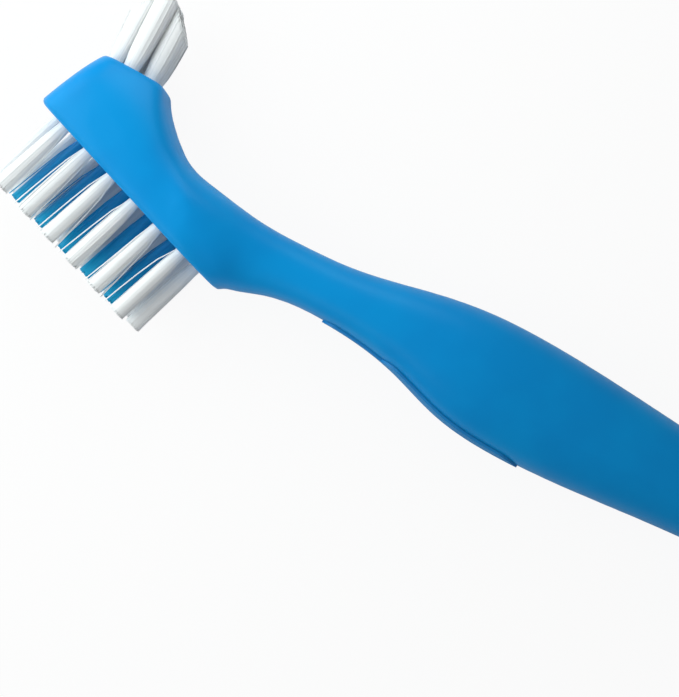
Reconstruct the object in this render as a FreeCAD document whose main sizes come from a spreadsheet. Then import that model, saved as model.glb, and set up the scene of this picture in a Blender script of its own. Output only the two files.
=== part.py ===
import FreeCAD
import Part
import Sketcher

import math
import os

from FreeCAD import Placement, Rotation, Vector

# A two-sided denture brush with a moulded handle, lying on its side.
# X runs along the handle towards the head, Y towards the long brush, Z up.
# Every length is in millimetres and every lean in degrees.

SIZES = {
    # The handle's oval sections, from its tail to the bend below the head.
    # step is the distance to the neighbour on the belly's side, and back and
    # front are counted from the handle's axis.
    "tail_step": 32.0, "tail_back": 4.9, "tail_front": 4.9, "tail_depth": 10.4,
    "rear_step": 39.0, "rear_back": 5.5, "rear_front": 5.3, "rear_depth": 12.6,
    "palm_step": 25.0, "palm_back": 7.0, "palm_front": 6.5, "palm_depth": 14.9,
    "belly_back": 8.7, "belly_front": 8.3, "belly_depth": 15.0,
    "saddle_step": 9.5, "saddle_back": 8.45, "saddle_front": 7.3, "saddle_depth": 14.4,
    "shoulder_step": 7.5, "shoulder_back": 7.3, "shoulder_front": 5.0, "shoulder_depth": 12.8,
    "wrist_step": 11.0, "wrist_back": 5.0, "wrist_front": 3.4, "wrist_depth": 10.6,
    "neck_step": 9.0, "neck_back": 4.35, "neck_front": 4.0, "neck_depth": 9.8,
    "throat_step": 6.4, "throat_back": 4.75, "throat_front": 5.8, "throat_depth": 11.2,
    "bend_step": 4.1, "bend_back": 6.4, "bend_front": 7.3, "bend_depth": 13.4,
    "throat_lean": 16.0, "bend_lean": 31.0,
    "handle_fullness": 2.7,
    "tail_rounding": 2.7,
    # The head: a flat face for the long brush and a flat end for the pointed one.
    # Its sections are widest at core behind the face, and back ends at its outline.
    "face_ahead": 13.15, "face_drop": 1.07, "face_lean": -18.9, "face_length": 34.5,
    "head_width": 14.9, "nose_width": 13.6, "nose_lean": -24.5, "end_height": 14.1,
    "hip_back": 12.0, "heel_back": 18.8, "middle_back": 17.65, "crown_back": 14.6,
    "nose_back": 12.4, "hip_sink": 2.2,
    "hip_lean": 35.4, "heel_lean": 33.3, "middle_lean": 11.3, "crown_lean": -6.0,
    "core": 4.0, "skirt": 7.0, "head_fullness": 2.3,
    "nose_rounding": 3.4, "edge_rounding": 0.7,
    # Narrow flats along the widest places, on which the brush lies.
    "flank_depth": 14.9,
    # The long brush: three staggered rows of tufts across the face.
    "face_margin": 3.3, "field_shift": 0.9, "row_gap": 3.7,
    "tuft_radius": 0.88, "tuft_spread": 1.15, "tuft_free": 12.0, "tuft_depth": 3.6,
    "tuft_spread_height": 11.5,
    # The pointed brush: one tuft ringed by six, trimmed to a blunt roof.
    "point_ahead": 7.9, "point_gap": 3.1, "point_radius": 1.1, "point_spread": 1.47,
    "point_free": 11.3, "point_shoulder": 7.2, "point_flat": 1.9, "point_depth": 3.4,
    "point_spread_height": 1.3,
    # Each tuft is folded over a flat metal anchor pressed across its hole.
    "tuft_clearance": 0.03, "anchor_thickness": 0.3, "anchor_height": 1.5,
    "anchor_bite": 0.15, "anchor_lift": 0.5,
    # The soft thumb grip, let into the bristle side: a wide rest and a narrow tongue.
    "grip_raise": 0.32, "grip_seat": 1.0,
    "rest_front": 20.3, "rest_rear": -4.0, "rest_width": 7.4,
    "tongue_front": 29.3, "tongue_rear": 6.0, "tongue_width": 4.4,
}

LONG_ROW = 7
SHORT_ROW = 6
RING = 6
SECTION_POINTS = 16
TRIM_SIZE = 60.0
TRIM_CLEARANCE = 1.0
FLANK_TRIM = 4 * TRIM_SIZE

document = FreeCAD.newDocument("denture_brush")

sheet = document.addObject("Spreadsheet::Sheet", "Sizes")
for line, (alias, value) in enumerate(SIZES.items(), start=1):
    sheet.set("A%d" % line, alias)
    sheet.set("B%d" % line, str(value))
    sheet.setAlias("B%d" % line, alias)
document.recompute()


def size(alias):
    return float(sheet.get(alias))


def fail(message):
    raise RuntimeError(message)


# The sections' places along the handle, worked outwards from the belly.

def reaches(stations, side):
    places, place = {}, 0.0
    for station in stations:
        place += side * size(station + "_step")
        places[station] = place
    return places


REACH = {
    "belly": 0.0,
    **reaches(("palm", "rear", "tail"), -1),
    **reaches(("saddle", "shoulder", "wrist", "neck", "throat", "bend"), 1),
}


# Places and directions of the two brushes, worked out from the lean of the face.

face_turn = math.radians(size("face_lean"))
ALONG_FACE = Vector(math.cos(face_turn), math.sin(face_turn), 0)
OUT_OF_FACE = Vector(-math.sin(face_turn), math.cos(face_turn), 0)
FACE_CENTRE = Vector(REACH["bend"] + size("face_ahead"), size("face_drop"), 0)
END_CENTRE = Vector(FACE_CENTRE.x + size("point_ahead"), -size("end_height"), 0)
OUT_OF_END = Vector(0, -1, 0)
UP = Vector(0, 0, 1)


def on_face(along, across=0.0):
    return FACE_CENTRE + ALONG_FACE * along + UP * across


# The moulded form: a skin over oval sections that lean with the bend of the head.

def outward_at(lean):
    turn = math.radians(lean)
    return Vector(-math.sin(turn), math.cos(turn), 0)


def oval(centre, lean, back, front, depth, fullness):
    """Points round one section: a superellipse with its widest place at centre."""
    outward = outward_at(lean)
    points = []
    for step in range(SECTION_POINTS):
        angle = 2 * math.pi * step / SECTION_POINTS
        down, side = -math.cos(angle), math.sin(angle)
        radius = (abs(down) ** fullness + abs(side) ** fullness) ** (-1 / fullness)
        height = back if down < 0 else front
        points.append(centre + outward * (down * radius * height) + UP * (side * radius * depth / 2))
    return points


def handle_section(station, growth):
    lean = size(station + "_lean") if station in ("throat", "bend") else 0.0
    return oval(
        Vector(REACH[station], 0, 0),
        lean,
        size(station + "_back") + growth,
        size(station + "_front") + growth,
        size(station + "_depth") + 2 * growth,
        size("handle_fullness"),
    )


def head_section(station, share, sink, width, growth):
    lean, core = size(station + "_lean"), size("core")
    return oval(
        on_face(share * size("face_length") / 2) - OUT_OF_FACE * sink - outward_at(lean) * core,
        lean,
        size(station + "_back") - core + growth,
        size("skirt") + core + growth,
        size(width) + 2 * growth,
        size("head_fullness"),
    )


def skin(sections):
    """A smooth solid through closed sections with as many points each."""
    count = len(sections[0])
    around = [step / count for step in range(count + 1)]
    rings = []
    for points in sections:
        ring = Part.BSplineCurve()
        ring.interpolate(Points=points, PeriodicFlag=True, Parameters=around)
        rings.append(ring)
    rows = [ring.getPoles() for ring in rings]
    places = [0.0]
    for row, following in zip(rows, rows[1:]):
        steps = [pole.distanceToPoint(other) for pole, other in zip(row, following)]
        places.append(places[-1] + sum(steps) / len(steps))
    places = [place / places[-1] for place in places]
    lines = []
    for column in zip(*rows):
        line = Part.BSplineCurve()
        line.interpolate(Points=list(column), Parameters=places)
        lines.append(line)
    net = [list(poles) for poles in zip(*[line.getPoles() for line in lines])]
    surface = Part.BSplineSurface()
    surface.buildFromPolesMultsKnots(
        net,
        lines[0].getMultiplicities(), rings[0].getMultiplicities(),
        lines[0].getKnots(), rings[0].getKnots(),
        False, True, 3, 3,
    )
    side = surface.toShape()
    ends = [Part.Face(Part.Wire([edge])) for edge in side.Edges if edge.isClosed()]
    shell = Part.Compound([side] + ends)
    shell.sewShape()
    solid = Part.Solid(shell.Shells[0])
    if solid.Volume < 0:
        solid.reverse()
    return solid


HANDLE_STATIONS = sorted(REACH, key=REACH.get)
HEAD_STATIONS = (
    ("hip", -0.64, size("hip_sink"), "head_width"),
    ("heel", -0.6, 0.0, "head_width"),
    ("middle", 0.03, 0.0, "head_width"),
    ("crown", 0.58, 0.0, "head_width"),
    ("nose", 1.0, 0.0, "nose_width"),
)


def moulded_form(growth=0.0):
    sections = [handle_section(station, growth) for station in HANDLE_STATIONS]
    sections += [head_section(*station, growth) for station in HEAD_STATIONS]
    return skin(sections)


def feature(name, shape):
    item = document.addObject("Part::Feature", name)
    item.Shape = shape
    return item


def cut(name, base, tool):
    item = document.addObject("Part::Cut", name)
    item.Base = base
    item.Tool = tool
    return item


def common(name, base, tool):
    item = document.addObject("Part::Common", name)
    item.Base = base
    item.Tool = tool
    return item


def group(name, members):
    item = document.addObject("Part::Compound", name)
    item.Links = members
    return item


def bound(item, **properties):
    for name, expression in properties.items():
        item.setExpression(name, expression)
    return item


def round_edges(name, base, radius, chosen):
    """A fillet on the edges of base that chosen picks."""
    item = document.addObject("Part::Fillet", name)
    item.Base = base
    numbers = [number for number, edge in enumerate(base.Shape.Edges, start=1) if chosen(edge)]
    if not numbers:
        fail(name + " finds no edge")
    item.Edges = [(number, radius, radius) for number in numbers]
    document.recompute()
    return item


# Trimming tools for the flat face and the flat end.

def trim_block(name, corner, turn):
    block = document.addObject("Part::Box", name)
    for side in ("Length", "Width", "Height"):
        setattr(block, side, TRIM_SIZE)
    block.Placement = Placement(corner, Rotation(UP, turn))
    return block


face_trim = trim_block(
    "face_trim", on_face(-TRIM_SIZE / 2, -TRIM_SIZE / 2), size("face_lean"))
end_trim = trim_block(
    "end_trim", END_CENTRE + Vector(-TRIM_SIZE / 2, -TRIM_SIZE, -TRIM_SIZE / 2), 0)

form = feature("form", moulded_form())
faced = cut("faced", form, face_trim)
ended = cut("ended", faced, end_trim)
document.recompute()


def off_face(point):
    return (point - FACE_CENTRE).dot(OUT_OF_FACE)


def on_plane(edge, distance):
    first, last = edge.ParameterRange
    places = [edge.valueAt(first + (last - first) * share) for share in (0.1, 0.5, 0.9)]
    return all(abs(distance(place)) < 0.01 for place in places)


def above_end(point):
    return point.y + size("end_height")


nose_plane_turn = math.radians(size("nose_lean"))
NOSE_CENTRE = on_face(size("face_length") / 2)
OUT_OF_NOSE = Vector(math.cos(nose_plane_turn), math.sin(nose_plane_turn), 0)


def off_nose(point):
    return (point - NOSE_CENTRE).dot(OUT_OF_NOSE)


def is_nose_side(edge):
    return on_plane(edge, off_nose) and not on_plane(edge, off_face) and not on_plane(edge, above_end)


def is_rim(edge):
    return on_plane(edge, off_face) or on_plane(edge, above_end)


def is_tail(edge):
    return on_plane(edge, lambda point: point.x - REACH["tail"])


nosed = round_edges("nosed", ended, size("nose_rounding"), is_nose_side)
rimmed = round_edges("rimmed", nosed, size("edge_rounding"), is_rim)
tailed = round_edges("tailed", rimmed, size("tail_rounding"), is_tail)

flanks = document.addObject("Part::Box", "flanks")
bound(flanks, Height="Sizes.flank_depth")
flanks.Length = flanks.Width = FLANK_TRIM
flanks.Placement.Base = Vector(-FLANK_TRIM / 2, -FLANK_TRIM / 2, -size("flank_depth") / 2)
flanked = common("flanked", tailed, flanks)


# The thumb grip lies in a shallow seat of its own outline, on the bristle side.

def slot_prism(name, front, rear, width):
    """An upright slot outline, drawn out towards the bristle side."""
    radius = size(width) / 2
    start, end = size(rear) + radius, size(front) - radius
    outline = Part.Wire([
        Part.LineSegment(Vector(start, 0, -radius), Vector(end, 0, -radius)).toShape(),
        Part.Arc(Vector(end, 0, -radius), Vector(end + radius, 0, 0), Vector(end, 0, radius)).toShape(),
        Part.LineSegment(Vector(end, 0, radius), Vector(start, 0, radius)).toShape(),
        Part.Arc(Vector(start, 0, radius), Vector(start - radius, 0, 0), Vector(start, 0, -radius)).toShape(),
    ])
    return feature(name, Part.Face(outline).extrude(Vector(0, TRIM_SIZE / 2, 0)))


grip_prism = document.addObject("Part::Fuse", "grip_prism")
grip_prism.Base = slot_prism("rest", "rest_front", "rest_rear", "rest_width")
grip_prism.Tool = slot_prism("tongue", "tongue_front", "tongue_rear", "tongue_width")
seat_form = feature("seat_form", moulded_form(-size("grip_seat")))
grip_form = feature("grip_form", moulded_form(size("grip_raise")))
raised = common("raised", grip_form, grip_prism)
thumb_grip = cut("thumb_grip", raised, seat_form)
recess = cut("recess", grip_prism, seat_form)
seated = cut("seated", flanked, recess)


# Where the tufts stand, and the frame of each: its own Z points out of the head.

def standing(place, outward, along):
    return Placement(place, Rotation(along, outward.cross(along), outward, "ZXY"))


half_field = size("face_length") / 2 - size("face_margin")
pitch = 2 * half_field / (LONG_ROW - 1)


def row_places(count, across):
    first = size("field_shift") - pitch * (count - 1) / 2
    return [standing(on_face(first + pitch * step, across), OUT_OF_FACE, ALONG_FACE)
            for step in range(count)]


long_places = row_places(LONG_ROW, 0.0)
short_places = row_places(SHORT_ROW, size("row_gap")) + row_places(SHORT_ROW, -size("row_gap"))
WHITE = short_places + [long_places[0], long_places[-1]]
BLUE = long_places[1:-1]


def point_place(radius, turn):
    offset = Vector(radius * math.cos(turn), 0, radius * math.sin(turn))
    return standing(END_CENTRE + offset, OUT_OF_END, Vector(1, 0, 0))


ring_turns = [math.pi / 2 + 2 * math.pi * step / RING for step in range(RING)]
ring_shares = [round(math.cos(turn), 6) for turn in ring_turns]
POINT = [point_place(0.0, 0.0)]
POINT += [point_place(size("point_gap"), turn) for turn in ring_turns]


# One hole for each tuft, with a notch where the anchor bites the plastic.

def holes(prefix, places, radius, depth):
    drills, notches = [], []
    for number, place in enumerate(places, start=1):
        drill = document.addObject("Part::Cylinder", "%s_hole_%02d" % (prefix, number))
        bound(drill, Radius="Sizes.%s + Sizes.tuft_clearance" % radius, Height="2 * Sizes." + depth)
        drill.Placement = place.multiply(Placement(Vector(0, 0, -size(depth)), Rotation()))
        drills.append(drill)
        notches.append(anchor("%s_notch_%02d" % (prefix, number), place, radius, depth))
    return group(prefix + "_holes", drills), group(prefix + "_notches", notches)


def anchor(name, place, radius, depth):
    length = 2 * (size(radius) + size("tuft_clearance") + size("anchor_bite"))
    plate = document.addObject("Part::Box", name)
    bound(
        plate,
        Length="2 * (Sizes.%s + Sizes.tuft_clearance + Sizes.anchor_bite)" % radius,
        Width="Sizes.anchor_thickness",
        Height="Sizes.anchor_height",
    )
    corner = Vector(-length / 2, -size("anchor_thickness") / 2, size("anchor_lift") - size(depth))
    plate.Placement = place.multiply(Placement(corner, Rotation()))
    return plate


def anchors(name, prefix, places, radius, depth):
    plates = [anchor("%s_anchor_%02d" % (prefix, number), place, radius, depth)
              for number, place in enumerate(places, start=1)]
    return group(name, plates)


main_places = WHITE + BLUE
main_holes, main_notches = holes("main", main_places, "tuft_radius", "tuft_depth")
point_holes, point_notches = holes("point", POINT, "point_radius", "point_depth")
drilled = cut("drilled", seated, group("drills", [main_holes, point_holes]))
handle = cut("handle", drilled, group("notches", [main_notches, point_notches]))
main_anchors = anchors("main_brush_anchors", "main", main_places, "tuft_radius", "tuft_depth")
point_anchors = anchors("pointed_brush_anchors", "point", POINT, "point_radius", "point_depth")


# Tufts: bundles of bristle, folded over their anchors and trimmed at the tip.

def plane_of(body, role):
    for item in body.Origin.OriginFeatures:
        if item.Role == role:
            return item
    fail("no " + role)


def outline(body, name, role, loops):
    """A sketch of closed outlines whose corners follow expressions on the sheet."""
    sketch = body.newObject("Sketcher::SketchObject", name)
    sketch.AttachmentSupport = (plane_of(body, role), [""])
    sketch.MapMode = "FlatFace"
    for corners in loops:
        first = sketch.GeometryCount
        count = len(corners)
        spots = [[float(sheet.evalExpression(text)) for text in corner] for corner in corners]
        for step, spot in enumerate(spots):
            following = spots[(step + 1) % count]
            sketch.addGeometry(Part.LineSegment(Vector(*spot, 0), Vector(*following, 0)))
        for step, corner in enumerate(corners):
            line, before = first + step, first + (step - 1) % count
            sketch.addConstraint(Sketcher.Constraint("Coincident", before, 2, line, 1))
            for kind, text, value in zip(("DistanceX", "DistanceY"), corner, spots[step]):
                rule = sketch.addConstraint(Sketcher.Constraint(kind, -1, 1, line, 1, value))
                sketch.setExpression("Constraints[%d]" % rule, text)
    return sketch


def pocket(body, name, role, loops):
    """A cut right through the body, both ways from its middle plane."""
    document.recompute()
    item = body.newObject("PartDesign::Pocket", name)
    item.Profile = outline(body, name + "_outline", role, loops)
    item.Type = "ThroughAll"
    item.Midplane = True
    return item


def mirrored(corners):
    return [("-(%s)" % across, up) for across, up in corners]


def tuft(name, place, prefix, share=None):
    """One bundle: its root fills the hole and its free end spreads to the trim.

    share is the part of the ring's radius by which a roofed bundle stands sideways.
    """
    body = document.addObject("PartDesign::Body", name)
    root, low = "Sizes.%s_radius" % prefix, "-Sizes.%s_depth" % prefix
    wide, top = "Sizes.%s_spread" % prefix, "Sizes.%s_free" % prefix
    profile = [
        ("0", low), (root, low), (root, "0"),
        (wide, "Sizes.%s_spread_height" % prefix), (wide, top), ("0", top),
    ]
    bundle = body.newObject("PartDesign::Revolution", name + "_bundle")
    bundle.Profile = outline(body, name + "_profile", "XZ_Plane", [profile])
    bundle.ReferenceAxis = (bundle.Profile[0], ["V_Axis"])
    bundle.Angle = 360.0
    base = low + " + Sizes.anchor_lift"
    peak = base + " + Sizes.anchor_height"
    half = "Sizes.anchor_thickness / 2"
    slot = [("-" + half, base), (half, base), (half, peak), ("-" + half, peak)]
    pocket(body, name + "_fold", "YZ_Plane", [slot])
    if share is not None:
        shift = "Sizes.point_gap * %s" % share
        eave = "Sizes.point_gap * %s + Sizes.point_spread" % max(ring_shares)
        outside, above = ["%s + %s" % (side, TRIM_CLEARANCE) for side in (eave, top)]
        roof = [
            (eave, "Sizes.point_shoulder"), ("Sizes.point_flat / 2", top),
            ("Sizes.point_flat / 2", above), (outside, above), (outside, "Sizes.point_shoulder"),
        ]
        halves = [[("%s - (%s)" % (across, shift), up) for across, up in side]
                  for side in (roof, mirrored(roof))]
        pocket(body, name + "_trim", "XZ_Plane", halves)
    body.Placement = place
    return body


NODES = [handle, thumb_grip, main_anchors, point_anchors]
document.recompute()
for number, place in enumerate(WHITE, start=1):
    NODES.append(tuft("white_tuft_%02d" % number, place, "tuft"))
for number, place in enumerate(BLUE, start=1):
    NODES.append(tuft("blue_tuft_%02d" % number, place, "tuft"))
for number, (place, share) in enumerate(zip(POINT, [0.0] + ring_shares), start=1):
    NODES.append(tuft("point_tuft_%02d" % number, place, "point", share))
document.recompute()

for item in document.Objects:
    if "Invalid" in item.State or "Error" in item.State:
        fail(item.Label + " failed")

# The brush lies on its side with its origin below the middle of its box.

extent = FreeCAD.BoundBox()
for node in NODES:
    extent.add(node.Shape.optimalBoundingBox())
origin = Vector(extent.Center.x, extent.Center.y, extent.ZMin)
os.makedirs("parts", exist_ok=True)
for node in NODES:
    if node.Shape.isNull() or not node.Shape.isValid():
        fail(node.Label + " is not a valid solid")
    node.Placement = Placement(node.Placement.Base - origin, node.Placement.Rotation)
    node.Shape.exportStep("parts/%s.step" % node.Label)
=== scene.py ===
import math
import random

import bpy
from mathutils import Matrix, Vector


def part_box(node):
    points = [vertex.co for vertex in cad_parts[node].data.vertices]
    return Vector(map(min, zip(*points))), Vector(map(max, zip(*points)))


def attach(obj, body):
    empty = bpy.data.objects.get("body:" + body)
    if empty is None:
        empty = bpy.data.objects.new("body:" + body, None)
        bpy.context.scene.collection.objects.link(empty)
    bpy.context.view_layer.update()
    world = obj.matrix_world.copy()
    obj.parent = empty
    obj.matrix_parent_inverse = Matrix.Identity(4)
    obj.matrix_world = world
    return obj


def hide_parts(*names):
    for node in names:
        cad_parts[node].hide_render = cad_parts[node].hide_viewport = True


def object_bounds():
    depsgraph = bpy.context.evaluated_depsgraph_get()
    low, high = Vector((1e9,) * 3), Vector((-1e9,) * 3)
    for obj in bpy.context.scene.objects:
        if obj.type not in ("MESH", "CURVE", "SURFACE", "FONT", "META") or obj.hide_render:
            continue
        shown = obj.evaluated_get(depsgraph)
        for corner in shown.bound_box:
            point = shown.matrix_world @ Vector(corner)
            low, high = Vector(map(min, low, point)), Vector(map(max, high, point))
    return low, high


# A two-sided denture brush lying on its side, seen from straight above.
# Lengths are in millimetres until MM turns them into the frame's metres.

MM = 0.001

# The photograph's view: what its width spans on the brush, how high the camera
# stands over the brush's middle, the spot under it, its turn in degrees, and how
# near and how far it sees.
VIEW_SPAN = 94.3
VIEW_DISTANCE = 165.0
VIEW_CENTRE = (33.54, 9.93)
VIEW_TURN = 208.5
VIEW_REACH = (10.0, 30000.0)

turn = math.radians(VIEW_TURN)
VIEW_LEFT = Vector((-math.cos(turn), -math.sin(turn), 0.0))
VIEW_TOP = Vector((-math.sin(turn), math.cos(turn), 0.0))

# The two brushes: the lean of the long brush's face, and the way each one points.
FACE_LEAN = math.radians(-18.9)
OUT_OF_FACE = Vector((-math.sin(FACE_LEAN), math.cos(FACE_LEAN), 0.0))
OUT_OF_END = Vector((0.0, -1.0, 0.0))
UP = Vector((0.0, 0.0, 1.0))

# The long brush: its bristles' free length, its holes, and how far a tuft opens.
FREE_LENGTH = 12.0
HOLE_RADIUS = 0.88
TIP_SPREAD = {"white": 1.25, "blue": 1.5}
MAIN_BRISTLES = 150

# The pointed brush: its trim from the flat top to the shoulders, and its ring of holes.
POINT_LENGTH = 11.3
POINT_SHOULDER = 7.2
POINT_FLAT = 1.9
POINT_HOLE_RADIUS = 1.1
POINT_HOLE_DEPTH = 3.4
POINT_TIP_SPREAD = 1.6
POINT_BRISTLES = 210
RING_RADIUS = 3.1
RING_TURN = math.radians(30)

# One bristle: round, and slightly rounded where it is cut.
BRISTLE_RADIUS = 0.08
BRISTLE_SIDES = 6
CUT_RADIUS_SHARE = 0.55
CUT_RISE_SHARE = 0.4
CUT_SHADING = 0.4

# A tuft spreads most just above its hole: the power of its way up.
SPREAD_POWER = 0.5
STATIONS = (0.0, 0.25, 0.5, 0.75, 1.0)

# Disorder: in the hole, at the tips, along the cut, and half way up.
SEED_DISORDER = 0.12
TIP_DISORDER = 0.05
CUT_DISORDER = (-0.05, 0.03)
BOW_DISORDER = 0.07

# The anchor in the hole, which each bristle is folded under.
ANCHOR_HALF = 0.15
ANCHOR_TOP = -1.6
ANCHOR_FOOT = -3.1
FOLD_DROP = (1.0, 4.0)

# How far a bristle is shaded as part of its bundle, whose own roundness light finds first.
BUNDLE_SHADING = 0.62

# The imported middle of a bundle: its share of the bundle's radius, how far its top
# lies under the cut and its foot under the face, and the range of its tones.
HEART_SHARE = 0.93
HEART_SINK = 0.35
HEART_FOOT = 1.0
HEART_SIDES = 24
HEART_TONES = (0.3, 0.7)

# Bristles that have strayed: how far beside its tuft's middle each one ends,
# counted towards the nose. Tufts 01 to 06 are the row nearest the eye, heel first.
STRAYS = {
    "white_tuft_01": (2.1,),
    "white_tuft_02": (-2.2, -1.85, 1.35),
    "white_tuft_03": (1.75, -1.4),
    "white_tuft_04": (-2.1, 1.55),
    "white_tuft_05": (1.7, 1.35, -1.6),
    "white_tuft_06": (-1.55,),
    "blue_tuft_01": (1.6,),
    "blue_tuft_03": (-1.6,),
    "blue_tuft_04": (1.7, -1.5),
    "blue_tuft_05": (1.5,),
}
STRAY_RISE = 0.25
STRAY_HEIGHT_WEIGHT = 0.6

# The studio: how white its table is to the eye and how matt to light, the soft
# grey that falls on the brush, and what its gloss finds low down and overhead.
TABLE_HALF = 8000.0
TABLE_WHITENESS = 0.92
TABLE_MATT = (0.82, 0.82, 0.82, 1.0)
WHITE = (1.0, 1.0, 1.0, 1.0)
FILL = 0.36
OVERHEAD = 0.04
HORIZON = 0.18
LAMP_COLOUR = (0.93, 1.0, 1.0)

# What the lamps are aimed at.
HEAD_AND_NECK = (52.0, 6.0, 7.5)
POINTED_BRUSH = (76.5, -15.5, 7.5)
LONG_BRUSH = (72.0, 12.5, 7.5)

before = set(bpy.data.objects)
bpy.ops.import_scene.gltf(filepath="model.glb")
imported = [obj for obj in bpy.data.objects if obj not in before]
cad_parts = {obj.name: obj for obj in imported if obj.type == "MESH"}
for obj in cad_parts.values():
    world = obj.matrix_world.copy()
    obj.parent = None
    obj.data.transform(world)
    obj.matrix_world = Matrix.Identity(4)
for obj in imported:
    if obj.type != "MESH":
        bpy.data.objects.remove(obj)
cad_low, cad_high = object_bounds()
MIDDLE_HEIGHT = (cad_low.z + cad_high.z) / 2
random.seed(21)


# Shader maths, written as expressions on sockets.

class Shade:
    """Builds the node tree of a material or a world."""

    def __init__(self, owner):
        owner.use_nodes = True
        self.owner = owner
        self.tree = owner.node_tree
        self.tree.nodes.clear()

    def add(self, kind, sockets=None, **settings):
        node = self.tree.nodes.new("ShaderNode" + kind)
        for name, value in settings.items():
            setattr(node, name, value)
        for name, value in (sockets or {}).items():
            self.plug(node.inputs[name], value)
        return Knot(self, node)

    def plug(self, socket, value):
        if isinstance(value, Wire):
            self.tree.links.new(value.socket, socket)
        else:
            socket.default_value = value


class Knot:
    """One node, whose outputs are asked for by name."""

    def __init__(self, shade, node):
        self.shade = shade
        self.node = node

    def out(self, name=0):
        return Wire(self.shade, self.node.outputs[name])


class Wire:
    """A socket that takes part in sums."""

    def __init__(self, shade, socket):
        self.shade = shade
        self.socket = socket

    def maths(self, operation, *values):
        knot = self.shade.add("Math", operation=operation)
        for place, value in enumerate(values):
            self.shade.plug(knot.node.inputs[place], value)
        return knot.out()

    def __add__(self, other):
        return self.maths("ADD", self, other)

    __radd__ = __add__

    def __sub__(self, other):
        return self.maths("SUBTRACT", self, other)

    def __rsub__(self, other):
        return self.maths("SUBTRACT", other, self)

    def __mul__(self, other):
        return self.maths("MULTIPLY", self, other)

    def absolute(self):
        return self.maths("ABSOLUTE", self)

    def ramp(self, low, high):
        """0 below low, 1 above high, and smooth between."""
        sockets = {"Value": self, "From Min": low, "From Max": high}
        return self.shade.add("MapRange", sockets, interpolation_type="SMOOTHSTEP").out("Result")


def paint(red, green, blue):
    """A colour as it is read off a screen, turned into light."""
    light = []
    for part in (red, green, blue):
        part /= 255
        light.append(part / 12.92 if part <= 0.04045 else ((part + 0.055) / 1.055) ** 2.4)
    return (*light, 1.0)


def blend_colour(shade, share, first, second):
    """From first to second by share. A colour Mix has its sockets at 0, 6 and 7."""
    sockets = {0: share, 6: first, 7: second}
    return shade.add("Mix", sockets, data_type="RGBA", blend_type="MIX").out(2)


def own_place(shade):
    """Where a spot lies in the piece's own coordinates."""
    return shade.add("TexCoord").out("Object")


def speckle(shade, size):
    """Noise whose grains are about size millimetres."""
    sockets = {"Vector": own_place(shade), "Scale": 1 / (size * MM), "Detail": 2.0}
    return shade.add("TexNoise", sockets).out("Fac")


def eased(shade, radius):
    """A normal that passes softly over shallow borders, within radius millimetres."""
    return shade.add("Bevel", {"Radius": radius * MM}, samples=6).out("Normal")


def relief(shade, height, depth, under=None):
    """A normal pushed out by height, whose full step is depth millimetres."""
    sockets = {"Height": height, "Strength": 1.0, "Distance": depth * MM}
    if under is not None:
        sockets["Normal"] = under
    return shade.add("Bump", sockets).out("Normal")


def finish_named(name):
    return Shade(bpy.data.materials.new(name))


def surface(shade, **sockets):
    """The finish as a material, from sockets whose spaces are written as underscores."""
    named = {name.replace("_", " "): value for name, value in sockets.items()}
    body = shade.add("BsdfPrincipled", named)
    shade.add("OutputMaterial", {"Surface": body.out("BSDF")})
    return shade.owner


def moulded_plastic():
    """Satin blue plastic, with the faint cloudiness and parting line of a moulding."""
    shade = finish_named("satin_blue_plastic")
    cloud = speckle(shade, 9.0)
    grain = speckle(shade, 0.35)
    colour = blend_colour(shade, cloud.ramp(0.3, 0.7), paint(0, 140, 211), paint(0, 147, 217))
    height = shade.add("SeparateXYZ", {"Vector": own_place(shade)}).out("Z")
    seam = (height - MIDDLE_HEIGHT).absolute().ramp(0.03 * MM, 0.09 * MM)
    bumps = grain * 0.25 + (1 - seam)
    return surface(
        shade,
        Base_Color=colour,
        Roughness=0.3 + grain * 0.07,
        IOR=1.49,
        Specular_IOR_Level=0.15,
        Normal=relief(shade, bumps, 0.012, eased(shade, 1.6)),
    )


def rubber():
    """Softer blue, with the fine dull stipple of a moulded grip."""
    shade = finish_named("soft_blue_grip")
    cloud = speckle(shade, 5.0)
    stipple = speckle(shade, 0.22)
    colour = blend_colour(shade, cloud.ramp(0.3, 0.7), paint(0, 131, 199), paint(0, 138, 205))
    return surface(
        shade,
        Base_Color=colour,
        Roughness=0.52 + stipple * 0.12,
        IOR=1.5,
        Normal=relief(shade, stipple, 0.02),
    )


def nylon(name, dull, bright, tip):
    """Bristle: each has its own tone, and pales towards its cut end."""
    shade = finish_named(name)
    tone = shade.add("Attribute", attribute_name="tone").out("Fac")
    along = shade.add("Attribute", attribute_name="along").out("Fac")
    streaks = speckle(shade, 1.1)
    colour = blend_colour(shade, tone, dull, bright)
    colour = blend_colour(shade, along.ramp(0.55, 1.0) * 0.5, colour, tip)
    return surface(
        shade,
        Base_Color=colour,
        Roughness=0.3 + streaks * 0.12,
        IOR=1.53,
        Specular_IOR_Level=0.35,
    )


def nickel():
    """The flat wire that each tuft is folded over."""
    shade = finish_named("nickel_silver")
    scratches = speckle(shade, 0.12)
    colour = blend_colour(shade, scratches, paint(176, 168, 146), paint(206, 198, 178))
    return surface(shade, Base_Color=colour, Metallic=1.0, Roughness=0.25 + scratches * 0.2)


FINISHES = {
    "handle_plastic": moulded_plastic(),
    "soft_grip": rubber(),
    "white_bristle": nylon(
        "white_nylon", paint(234, 236, 237), paint(248, 248, 247), paint(248, 249, 249)),
    "blue_bristle": nylon(
        "blue_nylon", paint(0, 130, 196), paint(0, 150, 209), paint(0, 180, 213)),
    "anchor_metal": nickel(),
}


def scene_object(name, data):
    item = bpy.data.objects.new(name, data)
    bpy.context.scene.collection.objects.link(item)
    return item


# Bristles. Each is one length folded under the anchor, so it has two free ends.

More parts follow.
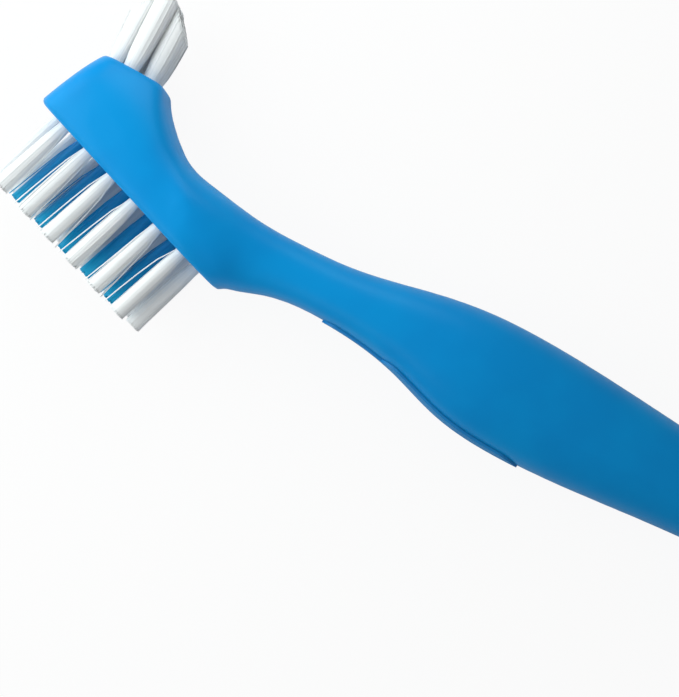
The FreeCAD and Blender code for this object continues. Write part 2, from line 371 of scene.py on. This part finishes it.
def tuft_top(node, outward):
    """The middle of a bundle's cut end, from its solid's reach out of the head."""
    corners = [vertex.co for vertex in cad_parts[node].data.vertices]
    across = outward.cross(UP)
    top = outward * max(corner.dot(outward) for corner in corners)
    for way in (across, UP):
        reaches = [corner.dot(way) for corner in corners]
        top += way * (min(reaches) + max(reaches)) / 2
    return top


def spread_evenly(count, radius):
    """Points over a disc, as seeds lie in a sunflower, a little out of order."""
    golden = math.pi * (3 - math.sqrt(5))
    points = []
    for number in range(count):
        reach = radius * math.sqrt((number + 0.5) / count)
        angle = number * golden + random.uniform(-SEED_DISORDER, SEED_DISORDER)
        points.append((reach * math.cos(angle), reach * math.sin(angle)))
    return points


class Bundle:
    """The mesh of one tuft, in its own frame: across, up and out of the head."""

    def __init__(self):
        self.corners = []
        self.faces = []
        self.normals = []
        self.tones = []
        self.alongs = []

    def corner(self, spot, normal, tone):
        self.corners.append(spot)
        self.normals.append(normal)
        self.tones.append(tone)
        self.alongs.append(max(spot.z, 0.0) / FREE_LENGTH)

    def skin(self, start, rings, sides):
        """Faces between rings of corners, counted from start."""
        for ring in range(rings - 1):
            for step in range(sides):
                near = start + ring * sides
                far = near + sides
                following = (step + 1) % sides
                self.faces.append((near + step, near + following, far + following, far + step))

    def shaded(self, spot, out):
        """A bristle's own way out, bent towards the way out of the whole bundle."""
        round_bundle = Vector((spot.x, spot.y, 0.0))
        if round_bundle.length < BRISTLE_RADIUS:
            return out
        bent = out * (1 - BUNDLE_SHADING) + round_bundle.normalized() * BUNDLE_SHADING
        return bent.normalized()

    def thread(self, path, tone):
        """A round bristle along path, whose ends are cut and slightly rounded."""
        spots = [Vector(spot) for spot in path]
        rise = BRISTLE_RADIUS * CUT_RISE_SHARE
        first = spots[0] + (spots[0] - spots[1]).normalized() * rise
        last = spots[-1] + (spots[-1] - spots[-2]).normalized() * rise
        spots = [first] + spots + [last]
        end = len(spots) - 1
        start = len(self.corners)
        side = Vector((0.0, 1.0, 0.0))
        for number, spot in enumerate(spots):
            before = spots[max(number - 1, 0)]
            after = spots[min(number + 1, end)]
            way = (after - before).normalized()
            side = (side - way * side.dot(way)).normalized()
            other = way.cross(side)
            radius = BRISTLE_RADIUS * (CUT_RADIUS_SHARE if number in (0, end) else 1.0)
            for step in range(BRISTLE_SIDES):
                angle = 2 * math.pi * step / BRISTLE_SIDES
                out = side * math.cos(angle) + other * math.sin(angle)
                normal = self.shaded(spot, out)
                if number == 0:
                    normal = (normal * CUT_SHADING - way).normalized()
                if number == end:
                    normal = (normal * CUT_SHADING + way).normalized()
                self.corner(spot + out * radius, normal, tone)
        self.skin(start, len(spots), BRISTLE_SIDES)
        self.faces.append(tuple(start + step for step in reversed(range(BRISTLE_SIDES))))
        top = start + end * BRISTLE_SIDES
        self.faces.append(tuple(top + step for step in range(BRISTLE_SIDES)))

    def heart(self, hole, spread, height_at):
        """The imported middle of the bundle, where no single bristle can be told apart."""
        start = len(self.corners)
        rings = [(-HEART_FOOT, 0.0)] + [(0.0, share) for share in STATIONS]
        for foot, share in rings:
            radius = HEART_SHARE * (hole + (spread - hole) * share ** SPREAD_POWER)
            for step in range(HEART_SIDES):
                angle = 2 * math.pi * step / HEART_SIDES
                out = Vector((math.cos(angle), math.sin(angle), 0.0))
                top = height_at(out.x * HEART_SHARE * spread) - HEART_SINK
                height = UP * (foot + top * share)
                self.corner(out * radius + height, out, random.uniform(*HEART_TONES))
        self.skin(start, len(rings), HEART_SIDES)
        last = start + (len(rings) - 1) * HEART_SIDES
        for first, level, order in ((start, -HEART_FOOT, -1), (last, height_at(0.0) - HEART_SINK, 1)):
            middle = len(self.corners)
            self.corner(UP * level, UP * order, 0.5)
            for step in range(HEART_SIDES):
                following = first + (step + 1) % HEART_SIDES
                self.faces.append((middle, first + step, following)[::order])

    def piece(self, name, place, outward, finish):
        """The bundle as a piece, set in its hole."""
        across = outward.cross(UP)

        def turned(spot):
            return across * spot.x + UP * spot.y + outward * spot.z

        mesh = bpy.data.meshes.new(name)
        corners = [place + turned(corner) * MM for corner in self.corners]
        # across, up and outward turn left-handed, so each face is wound the other way.
        mesh.from_pydata(corners, [], [face[::-1] for face in self.faces])
        for title, values in (("tone", self.tones), ("along", self.alongs)):
            mesh.attributes.new(title, "FLOAT", "POINT").data.foreach_set("value", values)
        mesh.shade_smooth()
        mesh.normals_split_custom_set_from_vertices([turned(normal) for normal in self.normals])
        mesh.materials.append(FINISHES[finish])
        return scene_object(name, mesh)


def free_end(root, tip, height, bow):
    """From the hole to the cut: a gentle bow, sideways by bow half way up."""
    spots = []
    for share in STATIONS:
        swell = bow * 4 * share * (1 - share)
        opened = share ** SPREAD_POWER
        spots.append((
            root[0] + (tip[0] - root[0]) * opened + swell,
            root[1] + (tip[1] - root[1]) * opened,
            height * share,
        ))
    return spots


def folded(ends):
    """One length of bristle: up one side, round under the anchor and up the other."""
    (left, left_free), (right, right_free) = ends
    low = ANCHOR_FOOT - BRISTLE_RADIUS * random.uniform(*FOLD_DROP)
    clear = ANCHOR_HALF + BRISTLE_RADIUS
    path = list(reversed(left_free))
    path.append((left[0], min(left[1], -clear), ANCHOR_TOP))
    path.append((left[0], min(left[1], -clear), ANCHOR_FOOT))
    path.append(((left[0] + right[0]) / 2, 0.0, low))
    path.append((right[0], max(right[1], clear), ANCHOR_FOOT))
    path.append((right[0], max(right[1], clear), ANCHOR_TOP))
    path.extend(right_free)
    return path


def lead_astray(tips, stray):
    """The tip that lies nearest that side and the eye moves out to stray."""
    side = math.copysign(1.0, stray)
    nearest = max(tips, key=lambda tip: side * tip[0] + STRAY_HEIGHT_WEIGHT * tip[1])
    nearest[0] = stray
    nearest[1] += STRAY_RISE


def filled_tuft(count, hole, spread, height_at, strays=()):
    """A bundle of bristle whose free ends fan out from hole to spread."""
    bundle = Bundle()
    reach = hole - BRISTLE_RADIUS
    fan = (spread - BRISTLE_RADIUS) / reach
    roots = sorted(spread_evenly(count, reach), key=lambda spot: spot[1])
    tips = [[part * fan + random.gauss(0.0, TIP_DISORDER) for part in root] for root in roots]
    for stray in strays:
        lead_astray(tips, stray)
    ends = []
    for root, tip in zip(roots, tips):
        height = height_at(tip[0]) + random.uniform(*CUT_DISORDER)
        ends.append((root, free_end(root, tip, height, random.gauss(0.0, BOW_DISORDER))))
    half = len(ends) // 2
    lefts = sorted(ends[:half], key=lambda end: end[0][0])
    rights = sorted(ends[half:], key=lambda end: end[0][0])
    for pair in zip(lefts, rights):
        bundle.thread(folded(pair), random.random())
    bundle.heart(hole, spread, height_at)
    return bundle


def level_trim(across):
    """The long brush is cut level."""
    return FREE_LENGTH


def roof_over(offset):
    """The pointed brush's trim: flat on top, and sloping to its shoulders."""
    ridge = POINT_FLAT / 2
    eave = RING_RADIUS * math.cos(RING_TURN) + POINT_TIP_SPREAD

    def height(across):
        beyond = max(abs(across + offset) - ridge, 0.0)
        return POINT_LENGTH - (POINT_LENGTH - POINT_SHOULDER) * beyond / (eave - ridge)

    return height


def dress(bundle, node, place, outward, finish):
    """The bristles in place of their plain bundle."""
    item = bundle.piece(node.replace("tuft", "bristles"), place, outward, finish)
    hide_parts(node)
    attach(item, "root")


def dress_long_brush():
    for name in sorted(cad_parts):
        if not name.startswith(("white_tuft", "blue_tuft")):
            continue
        colour = name.split("_")[0]
        bundle = filled_tuft(
            MAIN_BRISTLES, HOLE_RADIUS, TIP_SPREAD[colour], level_trim, STRAYS.get(name, ()))
        place = tuft_top(name, OUT_OF_FACE) - OUT_OF_FACE * FREE_LENGTH * MM
        dress(bundle, name, place, OUT_OF_FACE, colour + "_bristle")


def dress_pointed_brush():
    across = OUT_OF_END.cross(UP)
    middle = tuft_top("point_tuft_01", OUT_OF_END)
    for name in sorted(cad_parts):
        if not name.startswith("point_tuft"):
            continue
        low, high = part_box(name)
        centre = (low + high) / 2
        offset = (centre - middle).dot(across) / MM
        bundle = filled_tuft(POINT_BRISTLES, POINT_HOLE_RADIUS, POINT_TIP_SPREAD, roof_over(offset))
        place = Vector((centre.x, high.y - POINT_HOLE_DEPTH * MM, centre.z))
        dress(bundle, name, place, OUT_OF_END, "white_bristle")


def dress_solids():
    """The finishes of the pieces that stay as they were built."""
    for name, finish in (
        ("handle", "handle_plastic"),
        ("thumb_grip", "soft_grip"),
        ("main_brush_anchors", "anchor_metal"),
        ("pointed_brush_anchors", "anchor_metal"),
    ):
        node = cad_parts[name]
        node.data.materials.clear()
        node.data.materials.append(FINISHES[finish])


# The studio: a white table, a soft key from the upper left, two small lamps that
# reach the brushes' other sides, and an even fill.

def table_top():
    half = TABLE_HALF * MM
    corners = [(-half, -half, 0), (half, -half, 0), (half, half, 0), (-half, half, 0)]
    mesh = bpy.data.meshes.new("table_top")
    mesh.from_pydata(corners, [], [(0, 1, 2, 3)])
    shade = finish_named("white_table")
    matt = shade.add("BsdfDiffuse", {"Color": TABLE_MATT})
    glow = shade.add("Emission", {"Color": WHITE, "Strength": 1.0})
    ray = shade.add("LightPath")
    seen = ray.out("Is Camera Ray") + ray.out("Is Transmission Ray")
    mix = shade.add("MixShader", {0: seen * TABLE_WHITENESS, 1: matt.out("BSDF"), 2: glow.out("Emission")})
    shade.add("OutputMaterial", {"Surface": mix.out("Shader")})
    mesh.materials.append(shade.owner)
    scene_object("table_top", mesh)


def room_light():
    """White to the eye; to gloss a pale horizon that dims overhead; else a soft grey."""
    world = bpy.data.worlds.new("studio")
    bpy.context.scene.world = world
    shade = Shade(world)
    ray = shade.add("LightPath")
    seen = ray.out("Is Camera Ray") + ray.out("Is Transmission Ray")
    glossy = ray.out("Is Glossy Ray")
    way = shade.add("TexCoord").out("Generated")
    rise = shade.add("SeparateXYZ", {"Vector": way}).out("Z")
    mirrored = HORIZON - rise.ramp(0.1, 0.8) * (HORIZON - OVERHEAD)
    level = seen + (1 - seen) * (glossy * mirrored + (1 - glossy) * FILL)
    sky = shade.add("Background", {"Color": WHITE, "Strength": level})
    shade.add("OutputWorld", {"Surface": sky.out("Background")})


def soft_box(name, target, way, distance, size, power):
    """A round lamp that stands at distance along way from target, and faces it."""
    lamp = bpy.data.lights.new(name, "AREA")
    lamp.shape = "DISK"
    lamp.size = size * MM
    lamp.energy = power
    lamp.color = LAMP_COLOUR
    item = scene_object(name, lamp)
    item.location = Vector(target) * MM + way.normalized() * distance * MM
    item.rotation_euler = (-way).to_track_quat("-Z", "Y").to_euler()


def lamps():
    soft_box(
        "key", HEAD_AND_NECK, VIEW_LEFT * 0.85 + VIEW_TOP * 0.45 + UP * 0.6,
        distance=150.0, size=180.0, power=0.165)
    soft_box(
        "side", POINTED_BRUSH, VIEW_TOP * 0.8 - VIEW_LEFT * 0.35 + UP * 0.7,
        distance=80.0, size=80.0, power=0.038)
    soft_box(
        "face", LONG_BRUSH, OUT_OF_FACE * 0.7 + UP * 0.8,
        distance=90.0, size=90.0, power=0.029)


def camera():
    lens = bpy.data.cameras.new("camera")
    lens.sensor_fit = "HORIZONTAL"
    lens.lens = lens.sensor_width * VIEW_DISTANCE / VIEW_SPAN
    lens.clip_start, lens.clip_end = (reach * MM for reach in VIEW_REACH)
    item = scene_object("camera", lens)
    height = MIDDLE_HEIGHT + VIEW_DISTANCE * MM
    item.location = (VIEW_CENTRE[0] * MM, VIEW_CENTRE[1] * MM, height)
    item.rotation_euler = (0.0, 0.0, math.radians(VIEW_TURN))
    bpy.context.scene.camera = item


dress_long_brush()
dress_pointed_brush()
dress_solids()
table_top()
room_light()
lamps()
camera()
bpy.context.scene.view_settings.view_transform = "Standard"
